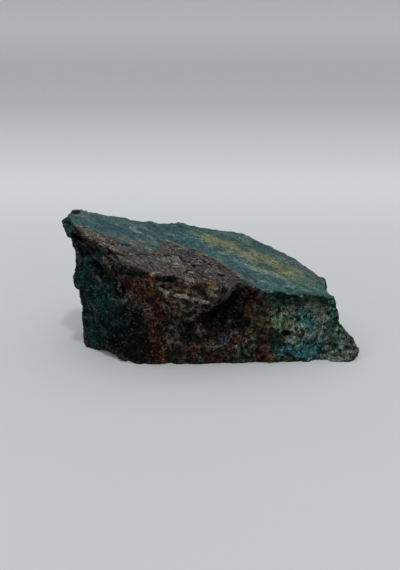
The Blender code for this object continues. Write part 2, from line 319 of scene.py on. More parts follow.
# %% Breaks and grains
BIG_BREAK, SMALL_BREAK = 5.6, 2.1
LEAN, WOBBLE, LOT_STEP = 0.12, 0.12, 9.7
CRUMB, CRUMB_HEIGHT = 1.1, 0.09
LUMP, LUMP_HEIGHT = 6.5, 0.25
CLEAN_RIM = [(42.4, -0.4, 24.4), (43.4, -4.0, 23.4), (44.6, -9.0, 22.2), (45.0, -12.0, 20.6)]
CLEAN_WIDTH = 4.0


def breaks(size):
    """Flat breaks about `size` mm wide: each cell of the pattern is a plane with its own lean."""
    heights = []
    wobble = WOBBLE * np.column_stack([hills(size / 2, seed) for seed in (31, 32, 33)])
    for spot in (points / size + wobble).tolist():
        middle = noise.voronoi(Vector(spot))[1][0]
        tilt = noise.cell_vector(middle * LOT_STEP) * 2 - Vector((1, 1, 1))
        heights.append((Vector(spot) - middle).dot(tilt))
    return np.array(heights) * size * LEAN


relief = breaks(BIG_BREAK) + breaks(SMALL_BREAK) + CRUMB_HEIGHT * hills(CRUMB, 5)
calm = step(0, 1, nearness(CLEAN_RIM, CLEAN_WIDTH))
relief = broken * (1 - calm) * (relief + LUMP_HEIGHT * hills(LUMP, 3))
print("relief of the breaks, mm: %.2f to %.2f" % (relief.min(), relief.max()))

# %% [markdown]
# ## Flakes on the shelf
# The rubbed layer peels off in leaves under a millimetre thick, so the shelf is a set of tiny terraces
# that follow the slip plane. Rounding a wandering depth to whole leaves gives their steps.

# %% Terraces
LEAF, LEAF_SINK = 0.75, 0.15
slide = math.radians(-24)
along = points[:, 0] * math.cos(slide) + points[:, 1] * math.sin(slide)
across = points[:, 1] * math.cos(slide) - points[:, 0] * math.sin(slide)
slide_frame = np.column_stack([along, across, points[:, 2]])
wander = (depth + 1.1 * hills(1.0, 6, slide_frame / [9.0, 4.0, 4.0])
          + 0.5 * hills(1.0, 7, slide_frame / [3.4, 1.7, 1.7]))
leaves = wander / LEAF
stepped = (np.floor(leaves) + step(0.74, 1.0, leaves % 1)) * LEAF
terraces = on_shelf * (wander - stepped - LEAF_SINK)
# the lip of each leaf, which the colour later lightens with a painted highlight
leaf_lip_highlight = on_shelf * step(0.66, 0.74, leaves % 1)
print("terraces, mm: %.2f to %.2f" % (terraces.min(), terraces.max()))

# %% [markdown]
# ## Cracks, ribs and crevices
# Each mark is a stroke with a height, out if it is positive and in if it is negative. The cracks of the
# shelf, placed in the camera's frame, are the narrowest strokes that the fine grid can hold. The
# points are shaken a little before their distance to a crack is taken, so that no crack runs straight, and
# only along the skin, so that none is shaken off it.

# %% Cracks and marks
CRACK_RADIUS, CRACK_DEPTH = 1.1, 1.2
CRACKS = [
    [(174, 254.5), (181, 257.5), (182.5, 261.3), (190, 263.8), (200, 266.3)],
    [(196, 266), (190, 268.8), (184, 272.3)],
    [(203, 261), (209, 264)],
    [(164, 256), (169, 257)],
    [(218, 275), (224, 276)],
    [(122, 244.5), (129, 246)],
    [(110, 252), (117, 255), (124, 257)],
]
MARKS = [
    (0.5, 1.1, [(-17.4, 1.9, 38.5), (-16.0, 2.8, 38.3), (-13.0, 1.4, 37.4), (-9.9, -1.0, 36.5),
                (-4.4, -0.8, 35.2), (0.1, -2.7, 33.9), (5.4, -9.4, 32.2)]),
    (-1.9, 2.6, [(-44.0, -8.0, 37.5), (-40.7, -8.7, 34.1), (-38.8, -10.6, 31.8), (-35.3, -17.0, 31.6),
                 (-33.5, -17.5, 29.6), (-32.3, -18.7, 25.5)]),
    (-0.9, 1.8, [(-48.5, -7.2, 42.9), (-44.8, -10.2, 41.2)]),
    (-2.0, 3.4, [(-47.6, -8.3, 43.6), (-44.8, -11.1, 42.2), (-42.2, -13.2, 40.9), (-39.4, -15.2, 39.3),
                 (-36.4, -17.2, 38.4)]),
    (0.7, 1.8, [(-44.1, -10.5, 42.8), (-40.6, -13.3, 41.1), (-37.6, -15.7, 38.6), (-35.4, -17.1, 36.5)]),
    (0.6, 1.1, [(-35.4, -17.3, 36.5), (-33.6, -16.9, 32.0), (-32.0, -16.9, 28.5), (-31.4, -17.6, 26.0)]),
    (0.7, 1.1, [(-19.6, -22.7, 30.8), (-16.2, -23.8, 29.1), (-11.9, -25.3, 27.9), (-5.4, -24.8, 26.5),
                (-1.0, -24.4, 24.8), (3.4, -22.0, 23.4)]),
    (0.6, 1.1, [(3.8, -21.0, 23.6), (5.9, -22.0, 27.0), (7.5, -20.0, 29.5)]),
    (0.7, 1.8, [(-51.0, -5.3, 43.1), (-49.7, -6.7, 42.0)]),
    (-0.9, 1.7, [(-32.4, -19.3, 34.6), (-28.4, -20.6, 33.8), (-24.9, -22.0, 33.9)]),
    (-0.9, 1.7, [(-17.8, -22.6, 32.9), (-13.2, -22.8, 32.4)]),
    (-0.7, 1.8, [(-24.0, -22.2, 19.0), (-21.5, -22.6, 13.0)]),
    (-1.3, 3.0, [(7.6, -15.5, 23.6), (4.2, -16.2, 20.6), (-0.4, -16.8, 18.2), (-8.0, -19.0, 15.4)]),
    (-0.4, 2.0, [(25.2, -18.6, 11.4), (27.4, -19.2, 10.8)]),
    (-0.8, 2.0, [(-51.2, 9.4, 46.4), (-52.2, 5.4, 46.0)]),
]
wander_by = np.column_stack([hills(3.0, seed) for seed in (41, 42, 43)])
wander_by -= np.sum(wander_by * normals, axis=1)[:, None] * normals
cracked = np.max([nearness(on_stone(crack), CRACK_RADIUS, points + wander_by) for crack in CRACKS], axis=0)
marks = -CRACK_DEPTH * step(0, 1, cracked)
for height, radius, path in MARKS:
    marks += height * step(0, 0.9, nearness(path, radius))
print("cracks touch", int((cracked > 0).sum()), "points; marks, mm: %.2f to %.2f" % (marks.min(), marks.max()))

# %% [markdown]
# ## Scratches on the slip face
# Sliding drew fine grooves down the face, all in one direction. Hills stretched along that direction and
# squeezed across it look like them. A few small dents and a broad swell keep the face from being a perfect
# plane.

# %% Grooves
DENT_DEPTH, DENT_WIDTH = 0.22, 1.7
SWELL_HEIGHT, SWELL_WIDTH = 0.16, 9.0
grooves = (0.05 * hills(1.0, 8, slide_frame / [12.0, 0.9, 0.9])
           + 0.09 * hills(1.0, 9, slide_frame / [9.0, 2.2, 2.2]))
dents = -DENT_DEPTH * step(0.45, 0.80, hills(DENT_WIDTH, 10))
slip_relief = on_slip * (grooves + SWELL_HEIGHT * hills(SWELL_WIDTH, 11) + dents)
print("relief of the slip face, mm: %.2f to %.2f" % (slip_relief.min(), slip_relief.max()))

# %% [markdown]
# ## Put the relief on
# Shelf and slip relief moves along the slip plane's normal, so terraces stay parallel to it. Breaks and
# marks move along the skin's own normals. Last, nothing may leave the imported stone's box, and the bottom
# stays flat where it rests.

# %% Move the points
before = points
points = points + normals * (relief + marks)[:, None] + slip_up * (terraces + slip_relief)[:, None]
points = np.clip(points, low, high)
normals = normals_of()
print("dressed stone, mm:", np.round(np.ptp(points, axis=0), 2))

# %% [markdown]
# ## Where each mineral lies
# Copper ore is stained in patches. Each mineral below has its own list of strokes: a radius in pixels, a
# strength, and a path of places in the camera's frame. Painting an image and wrapping it round the stone
# would do too, but strokes stay sharp at any size and can be moved one by one.
# Iron comes first: rust, wine-red cuprite beside it, and golden limonite.

# %% Rust, cuprite and limonite
STAINS = {}
STAINS["rust"] = [
    (6.5, 1.0, [(131, 288), (140, 291), (150, 293), (157, 297)]),
    (6.0, 0.7, [(147, 300), (152, 312), (156, 325)]),
    (4.0, 1.0, [(124, 283), (128, 287)]),
    (5.0, 0.9, [(148, 274), (152, 277)]),
    (5.0, 1.0, [(155, 312), (158, 322)]),
    (8.0, 1.0, [(154, 332), (154, 346), (157, 357)]),
    (4.5, 0.7, [(187, 353), (194, 350)]),
    (3.2, 1.2, [(87, 241), (91, 243)]),
    (5.0, 0.6, [(247, 312), (243, 320)]),
    (4.0, 0.5, [(240, 340), (246, 336)]),
    (3.0, 0.6, [(116, 347), (121, 352)]),
    (4.0, 0.5, [(265, 347), (262, 340)]),
    (3.0, 0.5, [(104, 345), (110, 348)]),
]
STAINS["maroon"] = [
    (5.0, 0.9, [(150, 300), (158, 306), (163, 318)]),
    (4.0, 0.5, [(157, 330), (160, 345)]),
    (4.0, 0.5, [(140, 288), (150, 292)]),
    (4.0, 0.8, [(125, 284), (129, 289)]),
    (4.5, 1.0, [(207, 341), (211, 337)]),
    (5.0, 1.0, [(209, 354), (217, 357)]),
    (4.0, 1.0, [(226, 349), (232, 350)]),
    (4.5, 1.0, [(229, 340), (238, 337)]),
    (6.0, 1.0, [(250, 293), (257, 297)]),
    (5.0, 0.9, [(257, 347), (259, 357)]),
    (4.0, 0.7, [(176, 346), (178, 352)]),
    (5.0, 0.7, [(168, 284), (176, 286)]),
    (4.0, 0.6, [(265, 300), (268, 306)]),
    (3.5, 0.7, [(243, 344), (247, 350)]),
    (3.0, 0.6, [(154, 350), (158, 352)]),
]
STAINS["gold"] = [
    (5.0, 0.8, [(182, 287), (193, 291)]),
    (3.0, 0.9, [(279, 320), (285, 326), (290, 332)]),
    (2.5, 1.0, [(288, 340), (295, 342)]),
    (3.0, 0.6, [(264, 356), (270, 352)]),
    (6.0, 0.9, [(206, 284), (214, 287)]),
    (6.0, 0.9, [(169, 300), (176, 309)]),
    (5.0, 0.8, [(176, 285), (186, 289)]),
    (5.0, 0.7, [(146, 316), (149, 326)]),
    (7.0, 0.9, [(248, 312), (260, 320), (266, 327)]),
    (4.0, 0.5, [(283, 316), (292, 324)]),
    (5.0, 0.9, [(280, 321), (290, 328)]),
    (4.5, 0.8, [(290, 340), (300, 342)]),
    (4.0, 0.6, [(296, 330), (304, 334)]),
    (5.0, 0.8, [(266, 352), (269, 357)]),
    (3.5, 0.9, [(139, 249), (148, 251)]),
    (4.5, 0.6, [(243, 330), (252, 336)]),
    (3.0, 0.5, [(148, 330), (150, 338)]),
    (3.5, 0.5, [(100, 273), (108, 278)]),
    (5.0, 0.4, [(190, 301), (205, 306)]),
]
print("strokes so far:", sum(map(len, STAINS.values())))

# %% [markdown]
# Then the copper minerals: green malachite, dark teal chlorite with copper in it, blue chrysocolla and a pale
# bloom of verdigris.

# %% Malachite, teal rock, chrysocolla and verdigris
STAINS["green"] = [
    (6.0, 0.5, [(122, 252), (140, 258), (158, 262)]),
    (4.0, 0.7, [(320, 346), (327, 354)]),
    (4.5, 0.7, [(276, 341), (279, 350)]),
    (5.0, 0.6, [(312, 344), (320, 350)]),
    (3.0, 0.6, [(340, 346), (345, 350)]),
    (8.0, 0.35, [(338, 335), (348, 350)]),
    (7.0, 0.5, [(268, 318), (276, 330), (272, 342)]),
    (8.0, 1.0, [(270, 293), (285, 294), (300, 295)]),
    (6.0, 0.9, [(300, 295), (316, 299)]),
    (6.0, 1.0, [(328, 299), (333, 309)]),
    (7.0, 0.9, [(333, 312), (337, 328)]),
    (7.0, 0.6, [(325, 330), (335, 338)]),
    (7.0, 0.6, [(243, 349), (252, 354)]),
    (5.0, 0.6, [(250, 342), (254, 350)]),
    (4.0, 0.25, [(112, 253), (116, 264)]),
    (5.0, 0.5, [(124, 260), (122, 268)]),
    (5.0, 0.5, [(272, 304), (290, 306)]),
]
STAINS["teal"] = [
    (5.0, 0.9, [(78, 240), (90, 250), (98, 256)]),
    (9.0, 0.9, [(96, 345), (112, 352)]),
    (8.0, 0.7, [(120, 335), (130, 350)]),
    (24.0, 0.9, [(92, 290), (98, 315), (104, 335)]),
    (10.0, 1.0, [(78, 270), (82, 283)]),
    (14.0, 0.8, [(120, 310), (118, 340)]),
    (9.0, 0.9, [(84, 250), (93, 262)]),
    (7.0, 1.0, [(66, 223), (68, 229), (70, 235)]),
    (8.0, 0.6, [(232, 305), (238, 322)]),
    (5.0, 0.6, [(166, 348), (172, 356)]),
]
STAINS["chrysocolla"] = [
    (6.0, 0.35, [(328, 299), (333, 310)]),
    (7.0, 0.4, [(334, 336), (345, 345)]),
    (5.5, 1.0, [(288, 350), (299, 351)]),
    (5.0, 0.65, [(299, 351), (313, 352)]),
    (7.0, 0.7, [(300, 345), (312, 342)]),
    (8.0, 0.65, [(305, 314), (310, 326)]),
    (3.5, 0.45, [(219, 341), (224, 342)]),
    (5.0, 0.35, [(278, 346), (280, 354)]),
    (5.0, 0.5, [(297, 330), (302, 322)]),
    (4.0, 0.25, [(168, 326), (178, 331)]),
    (4.0, 0.5, [(89, 256), (94, 262)]),
]
STAINS["verdigris"] = [
    (2.2, 0.5, [(112, 272), (115, 281), (118, 290)]),
    (4.0, 0.35, [(328, 300), (333, 310)]),
    (7.0, 0.22, [(242, 353), (252, 346)]),
    (4.0, 0.45, [(273, 318), (279, 325)]),
    (2.5, 1.0, [(283, 317), (288, 316)]),
    (3.0, 1.0, [(277, 325), (282, 331)]),
    (3.0, 0.7, [(279, 326), (285, 331)]),
    (5.0, 0.2, [(268, 312), (276, 316)]),
    (6.0, 0.4, [(286, 320), (298, 326)]),
    (3.5, 0.9, [(290, 339), (297, 342)]),
    (2.0, 0.9, [(303, 326), (306, 332), (304, 339)]),
    (5.0, 0.45, [(275, 322), (286, 330)]),
    (5.0, 0.4, [(335, 336), (346, 342)]),
    (6.0, 0.4, [(338, 352), (348, 352)]),
]
print("strokes so far:", sum(map(len, STAINS.values())))

# %% [markdown]
# Brown clay and pale quartz fill the gaps. Manganese oxide blackens hollows, and its strokes also carry
# painted shade under overhangs and in crevices. Two kinds of seam cross it all: a fine net where the rock was
# crushed, and single veins, whose strokes also paint highlights along some ridges.

# %% Clay, quartz, manganese and seams, with painted shade and highlights
STAINS["clay"] = [
    (4.0, 0.4, [(124, 274), (143, 277)]),
    (4.0, 0.9, [(311, 301), (319, 308), (323, 317)]),
    (3.0, 0.7, [(346, 344), (351, 347)]),
    (3.5, 0.8, [(333, 355), (348, 358)]),
    (3.0, 0.6, [(285, 310), (291, 312)]),
    (5.0, 0.9, [(193, 324), (200, 331)]),
    (3.0, 0.7, [(231, 334), (236, 332)]),
    (3.0, 0.6, [(185, 318), (190, 317)]),
    (3.5, 0.5, [(206, 317), (210, 311)]),
    (3.0, 0.6, [(102, 259), (105, 266)]),
    (6.0, 0.45, [(124, 300), (134, 305), (143, 312)]),
    (4.0, 0.35, [(92, 304), (97, 311)]),
    (5.0, 0.3, [(100, 325), (108, 332)]),
    (2.5, 0.8, [(190, 280), (194, 282)]),
    (6.0, 0.4, [(167, 324), (172, 334), (178, 342)]),
    (3.0, 0.4, [(227, 318), (229, 322)]),
    (5.0, 0.6, [(96, 243), (111, 247)]),
    (6.0, 0.6, [(166, 259), (180, 263)]),
    (6.0, 0.9, [(166, 277), (178, 279), (190, 281)]),
    (6.0, 0.5, [(172, 303), (184, 306), (196, 308)]),
    (4.0, 0.55, [(206, 296), (216, 297)]),
    (5.0, 0.4, [(178, 309), (200, 308)]),
    (4.0, 0.4, [(168, 285), (190, 290), (206, 293)]),
    (3.0, 0.4, [(163, 320), (180, 322)]),
]
STAINS["quartz"] = [
    (6.5, 1.0, [(308, 302), (318, 309)]),
    (4.0, 0.8, [(322, 314), (324, 320)]),
    (3.5, 0.8, [(285, 310), (290, 311)]),
    (5.0, 0.7, [(284, 336), (293, 336)]),
    (8.0, 0.42, [(346, 338), (350, 346)]),
    (6.0, 0.9, [(332, 355), (344, 357)]),
    (5.0, 0.6, [(336, 344), (342, 350)]),
    (6.0, 0.8, [(331, 351), (341, 353)]),
    (4.0, 0.75, [(163, 260), (182, 262)]),
    (5.0, 0.4, [(308, 304), (322, 310)]),
    (2.0, 1.0, [(153, 274), (156, 275)]),
    (7.0, 0.5, [(312, 330), (326, 334)]),
    (6.0, 0.35, [(338, 330), (344, 338)]),
]
# Black manganese oxide, and painted shade in the recesses under overhangs and in crevices.
STAINS["manganese_and_shade"] = [
    (5.0, 0.42, [(207, 268), (222, 271)]),
    (4.0, 0.35, [(166, 260), (178, 262)]),
    (12.0, 1.0, [(132, 318), (136, 335), (138, 352)]),
    (10.0, 0.8, [(115, 332), (124, 347)]),
    (5.0, 0.7, [(126, 288), (122, 296)]),
    (6.0, 0.6, [(100, 335), (104, 345)]),
    (3.0, 0.6, [(71.5, 211.5), (77, 213)]),
    (2.4, 1.0, [(77, 229), (81, 233), (85, 238)]),
    (4.5, 1.0, [(76, 238), (84, 246), (90, 251)]),
    (3.0, 0.3, [(272, 297), (290, 299)]),
    (3.0, 0.8, [(91, 243), (97, 248), (103, 252)]),
    (4.0, 1.0, [(99, 264), (107, 270), (112, 275)]),
    (4.0, 0.9, [(113, 282), (116, 294)]),
    (3.0, 0.85, [(121, 271), (132, 272), (143, 273)]),
    (3.4, 1.0, [(159, 277), (166, 279), (174, 279)]),
    (8.0, 1.0, [(232, 304), (224, 312), (212, 318)]),
    (7.0, 1.0, [(236, 310), (240, 322)]),
    (4.0, 0.8, [(187, 323), (192, 328), (186, 338)]),
    (4.0, 0.9, [(219, 286), (225, 292)]),
    (4.0, 0.5, [(228, 281), (245, 284)]),
    (4.0, 0.55, [(202, 281), (222, 284)]),
    (8.0, 0.7, [(272, 293), (300, 294), (318, 298)]),
    (8.0, 0.2, [(188, 352), (205, 345), (222, 350)]),
    (5.0, 0.6, [(206, 268), (226, 272), (244, 281)]),
    (2.2, 0.65, [(278, 337), (282, 333), (287, 335), (291, 333)]),
    (2.5, 0.6, [(279, 341), (280, 345)]),
    (2.0, 0.9, [(287, 354), (290, 356)]),
    (4.0, 0.8, [(240, 296), (244, 303)]),
    (4.0, 0.6, [(94, 243), (97, 247)]),
    (4.0, 0.8, [(236, 292), (238, 300)]),
    (6.0, 0.5, [(218, 328), (228, 332)]),
    (5.0, 0.5, [(265, 330), (272, 340)]),
    (4.0, 0.5, [(330, 330), (333, 342)]),
    (3.0, 0.6, [(198, 286), (201, 292)]),
]
STAINS["net"] = [
    (8.0, 0.9, [(126, 300), (136, 306), (144, 314)]),
    (9.0, 0.45, [(166, 332), (178, 342)]),
    (11.0, 0.5, [(208, 342), (222, 348), (234, 344)]),
    (6.0, 0.8, [(219, 289), (228, 293)]),
    (8.0, 0.5, [(175, 308), (200, 310)]),
    (8.0, 0.4, [(314, 310), (320, 318)]),
]
# Pale veins, and painted highlights along some ridges of the front and the left end.
STAINS["vein_and_ridge_highlight"] = [
    (1.2, 1.2, [(153, 285), (163.7, 290.6), (176, 295.6), (186, 297.2)]),
    (1.0, 1.1, [(186, 297.2), (195, 298.7), (207.5, 303), (218, 304)]),
    (1.1, 1.0, [(222, 303), (227, 294), (231, 286)]),
    (1.0, 0.8, [(164, 291), (167, 298), (167, 305), (170, 317)]),
    (0.9, 0.6, [(236, 318), (228, 312), (232, 306)]),
    (1.0, 0.9, [(115, 276), (118, 284), (121, 292)]),
    (1.0, 0.45, [(86, 245), (94, 250), (101, 255), (106, 262)]),
    (1.0, 0.8, [(110, 266), (114, 276), (119, 284)]),
    (0.9, 0.5, [(90, 288), (98, 300), (108, 312), (112, 322)]),
    (0.9, 0.5, [(104, 290), (112, 298), (120, 304)]),
    (1.0, 0.7, [(163, 296), (164, 308), (170, 316)]),
    (1.0, 0.6, [(204, 345), (214, 348), (226, 344), (236, 346)]),
]
print("strokes in all:", sum(map(len, STAINS.values())))

# %% [markdown]
# The slip face has strokes of its own: long bands that follow the slide, chalky wisps between them, and
# brown clay where the rubbed skin wears through.

# %% Smears of the slip face
SMEARS = {}
SMEARS["gold_band"] = [
    (7.0, 1.0, [(216, 242), (234, 248), (252, 256)]),
    (7.0, 0.9, [(252, 256), (270, 264), (290, 273)]),
    (4.0, 0.5, [(290, 273), (312, 283)]),
    (3.0, 0.5, [(200, 236), (216, 242)]),
]
SMEARS["green_band"] = [
    (6.0, 0.9, [(185, 228), (200, 231), (215, 236)]),
    (7.0, 0.7, [(240, 242), (262, 252)]),
    (9.0, 0.9, [(275, 268), (295, 280), (315, 288)]),
    (5.0, 0.6, [(300, 288), (324, 293)]),
    (6.0, 0.6, [(282, 262), (310, 278)]),
]
SMEARS["blue_band"] = [
    (7.0, 0.9, [(176, 236), (190, 241), (205, 247), (220, 254)]),
    (8.0, 1.0, [(226, 260), (240, 268), (258, 278)]),
    (6.0, 0.7, [(258, 278), (280, 285)]),
    (10.0, 0.5, [(120, 226), (150, 234)]),
]
SMEARS["chalk"] = [
    (2.4, 0.9, [(218, 256), (225, 253), (231, 252)]),
    (1.3, 0.7, [(231, 254), (238, 258), (245, 261)]),
    (3.0, 0.45, [(245, 263), (250, 268), (256, 274)]),
    (2.6, 0.5, [(250, 274), (262, 281)]),
    (2.6, 1.2, [(132, 228), (135, 231), (138, 233)]),
    (1.5, 0.5, [(262, 249), (268, 252)]),
    (2.0, 0.6, [(284, 287), (290, 284), (293, 288)]),
    (1.4, 0.5, [(300, 273), (314, 281)]),
    (1.8, 0.5, [(206, 245), (216, 247)]),
    (1.2, 0.6, [(110, 242), (117, 244)]),
    (2.0, 0.5, [(302, 291), (318, 293)]),
    (3.5, 0.4, [(262, 270), (284, 280)]),
]
SMEARS["rim_brown"] = [
    (6.0, 0.8, [(86, 232), (100, 237), (118, 245)]),
    (3.0, 0.8, [(268, 250), (280, 256), (292, 263)]),
    (2.5, 0.8, [(296, 264), (312, 274), (324, 282)]),
    (2.4, 0.6, [(240, 239), (255, 244)]),
    (4.0, 0.6, [(112, 236), (124, 238)]),
    (5.0, 0.6, [(128, 242), (150, 244)]),
    (4.0, 0.5, [(96, 231), (108, 236)]),
]
SMEARS["ochre_rim"] = [
    (4.0, 0.6, [(139, 248), (149, 251)]),
    (3.0, 0.5, [(78, 228), (86, 236)]),
    (1.8, 0.9, [(167, 241), (175, 245), (183, 249.5), (195, 250.5)]),
    (2.6, 1.0, [(207, 256), (214, 259), (219, 262)]),
    (2.6, 0.7, [(224, 264), (233, 271), (240, 276)]),
    (3.0, 0.5, [(243, 279), (255, 284)]),
    (1.3, 0.6, [(198, 251), (207, 256)]),
]
print("smears:", sum(map(len, SMEARS.values())))

# %% [markdown]
# Every list ends as one number per point, a mesh attribute that the material reads by name. One pixel is
# PIXEL millimetres wide at the stone. The bands are spread wider than they were drawn, and the strokes of
# three faint minerals are made stronger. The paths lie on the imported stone, so nearness is measured on the
# skin as it was before its relief, with the same shake as for the cracks but less of it for fine strokes.
# The far sides have no strokes. They get patches of the same minerals from soft hills: each has a width, and
# a bar that its hills must pass.

# %% Strokes to masks
PIXEL = 0.385
BAND_SPREAD, FAINT_GAIN = 1.7, 1.3
FAINT = ("chrysocolla", "verdigris", "quartz")
FADE_OUT = 2.1
SHAKE_SHARE, MOST_SHAKE = 0.4, 1.2
FAR_SIDE = {
    "rust": (10.0, 0.64), "maroon": (8.0, 0.66), "gold": (9.0, 0.70), "green": (12.0, 0.40),
    "teal": (14.0, 0.00), "chrysocolla": (9.0, 0.80), "verdigris": (6.0, 0.95), "clay": (8.0, 0.74),
    "quartz": (6.0, 0.84), "manganese_and_shade": (9.0, 0.32), "net": (9.0, 0.50), "vein_and_ridge_highlight": (5.0, 0.90),
}
edge_wander = 0.22 * hills(4.0, 12) + 0.16 * hills(1.6, 13)
to_back = step(0.0, 0.5, normals[:, 1])
under = step(-0.3, -0.8, normals[:, 2]) * step(5, 1, points[:, 2])
hidden = np.clip(to_back + under, 0, 1)
masks = {"slip": on_slip, "shelf": on_shelf}
for number, (mineral, strokes) in enumerate({**STAINS, **SMEARS}.items()):
    mask = np.zeros(len(points))
    millimetres = PIXEL * (BAND_SPREAD if mineral.endswith("_band") else 1)
    gain = FAINT_GAIN if mineral in FAINT else 1
    for pixels, strength, places in strokes:
        radius = round(pixels * millimetres, 1)
        shaken_points = before + min(MOST_SHAKE, SHAKE_SHARE * radius) * wander_by
        soft = (nearness(on_stone(places), radius * FADE_OUT, shaken_points) * (1 + edge_wander)
                + 0.35 * edge_wander)
        mask = np.maximum(mask, np.minimum(1, round(strength * gain, 2) * step(0.0, 0.85, soft)))
    if mineral in FAR_SIDE:
        width, bar = FAR_SIDE[mineral]
        mask = np.maximum(mask, hidden * step(bar - 0.2, bar + 0.25, hills(width, 20 + number)))
    masks[mineral] = mask
    print("%-12s covers %4.1f %% of the points" % (mineral, 100 * (mask > 0.5).mean()))

# %% [markdown]
# ## Hollows and edges
# Hollows and cracks get painted shade: their colour is darkened where shade falls. Edges turn pale, partly
# from rubbed wear and partly with a painted highlight along the lip of each shelf leaf. Hollows and edges
# show in how far a point lies under or over the average of its surroundings, measured along its normal, once
# for small pits and once for wide ones.

# %% Hollow and edge
NEAR_ROUNDS, WIDE_ROUNDS = 4, 30
dip = np.sum((blurred(points, NEAR_ROUNDS) - points) * normals, axis=1)
bowl = np.sum((blurred(points, WIDE_ROUNDS) - points) * normals, axis=1)
# painted shade in hollows and cracks; pale edges are wear plus a painted highlight on the leaf lips
masks["painted_hollow_shade"] = np.clip(step(0.03, 0.18, dip) * 0.6 + step(0.05, 0.8, bowl) * 0.5, 0, 1)
masks["crack"] = step(0.1, 0.6, cracked)
# pale edges: rubbed wear on convex places, plus a painted highlight on the leaf lips
masks["edge"] = np.clip(step(-0.04, -0.18, dip) * 0.6 + step(-0.2, -0.9, bowl) * 0.4 + 0.6 * leaf_lip_highlight, 0, 1)
for name, mask in masks.items():
    attribute = skin.attributes.new(name, "FLOAT", "POINT")
    attribute.data.foreach_set("value", mask.astype(np.float32))
print("attributes:", ", ".join(masks))

# %% [markdown]
# ## Colours and nodes
# Colours are written as sRGB hex, as a paint chart gives them, and one function turns them linear. A second
# small function adds a node, sets its fields and fills its sockets, so that a material reads as a list.
# Two settings come up all the time, a soft ramp and a mix of colours, so they are kept by name.

# %% Two small helpers
def paint(code):
    """An sRGB hex colour as the linear colour that Blender's sockets take."""
    parts = [int(code[i:i + 2], 16) / 255 for i in (1, 3, 5)]
    return [c / 12.92 if c <= 0.04045 else ((c + 0.055) / 1.055) ** 2.4 for c in parts] + [1.0]


def add(tree, kind, sockets={}, **fields):
    """Adds a node with these fields. Each socket gets a value, or a link from a node's first live output or
    from the output given."""
    node = tree.nodes.new(kind)
    for field, value in fields.items():
        setattr(node, field, value)
    for name, value in sockets.items():
        live = [s for s in node.inputs if s.enabled]
        socket = live[name] if isinstance(name, int) else next(s for s in live if s.name == name)
        if isinstance(value, bpy.types.Node):
            value = next(s for s in value.outputs if s.enabled)
        if isinstance(value, bpy.types.NodeSocket):
            tree.links.new(value, socket)
        else:
            socket.default_value = value
    return node


RAMP, MIX, MATH = "ShaderNodeMapRange", "ShaderNodeMix", "ShaderNodeMath"
VECTOR, NOISE, CELLS = "ShaderNodeVectorMath", "ShaderNodeTexNoise", "ShaderNodeTexVoronoi"
SOFT = {"interpolation_type": "SMOOTHSTEP"}
COLOURS = {"data_type": "RGBA"}
print("middle grey #808080 is", round(paint("#808080")[0], 3), "in linear light")

# %% [markdown]
# ## Copper-stained rock
# The rock is a breccia of quartz and clay grains in a dark groundmass of chlorite and manganese oxide. It
# formed when copper-bearing water soaked a shattered zone. To the eye that is dark, fine-grained rock with
# deep stains that melt into each other, and pale specks and seams in places.
# All patterns are in real millimetres: the coordinates are scaled once, and each pattern's scale is one over
# its width. Each noise below has its width, its detail and its roughness.

# %% Material and its patterns
rock = bpy.data.materials.new("copper_stained_rock")
rock.use_nodes = True
tree = rock.node_tree
tree.nodes.clear()
place = add(tree, "ShaderNodeTexCoord").outputs["Object"]
mm = add(tree, VECTOR, {0: place, "Scale": 1 / MM}, operation="SCALE")
PATTERNS = {"cloud": (5.0, 3.0, 0.55), "blotch": (1.8, 2.0, 0.50), "pepper": (0.38, 3.0, 0.75)}
cloud, blotch, pepper = [
    add(tree, NOISE, {"Vector": mm, "Scale": 1 / width, "Detail": detail, "Roughness": rough}, label=name)
    for name, (width, detail, rough) in PATTERNS.items()]
print("widths of the noises, mm:", {name: numbers[0] for name, numbers in PATTERNS.items()})

# %% [markdown]
# ### Grain
# A Voronoi pattern is a set of cells of about equal size, which is what crystal grains are. Every cell has
# its own random number. Shaking the coordinates first makes the grains ragged. Grains and pepper noise
# together make one brightness, around 1. It is partly the grains' own tone, and partly painted glints on
# bright grains and painted shade in the pits. It is kept apart from the colours until the end, because a
# glint or a shaded pit doesn't change a grain's colour.

# %% Grain brightness
GRAIN, SHAKE_WIDTH = 0.44, 0.7
shake = add(tree, NOISE, {"Vector": mm, "Scale": 1 / SHAKE_WIDTH, "Detail": 3.0})
shaken = add(tree, VECTOR, {0: shake.outputs["Color"], 1: (1.2, 1.2, 1.2), 2: mm}, operation="MULTIPLY_ADD")
crystals = add(tree, CELLS, {"Vector": shaken, "Scale": 1 / GRAIN})
lots = add(tree, "ShaderNodeSeparateColor", {"Color": crystals.outputs["Color"]})
grainy = add(tree, MATH, {0: lots.outputs["Red"], 1: 0.30, 2: pepper}, operation="MULTIPLY_ADD")
grain_glint_and_shade = add(tree, RAMP, {"Value": grainy, "From Min": 0.45, "From Max": 0.87, "To Min": 0.08, "To Max": 2.10})
print("grains:", GRAIN, "mm wide, so about", round(SIZE[0] / GRAIN), "along the stone")

# %% [markdown]
# ### Groundmass
# Manganese oxide is black and weathered clay is brown. Two sizes of noise mix them into dark rock.

# %% Groundmass
brownish = add(tree, RAMP, {"Value": cloud, "From Min": 0.40, "From Max": 0.62}, **SOFT)
claylike = add(tree, RAMP, {"Value": blotch, "From Min": 0.42, "From Max": 0.66, "To Max": 0.7}, **SOFT)
ground = add(tree, MIX, {"Factor": brownish, "A": paint("#111312"), "B": paint("#211d19")}, **COLOURS)
ground = add(tree, MIX, {"Factor": claylike, "A": ground, "B": paint("#3c3832")}, **COLOURS)
print("nodes with the groundmass:", len(tree.nodes))

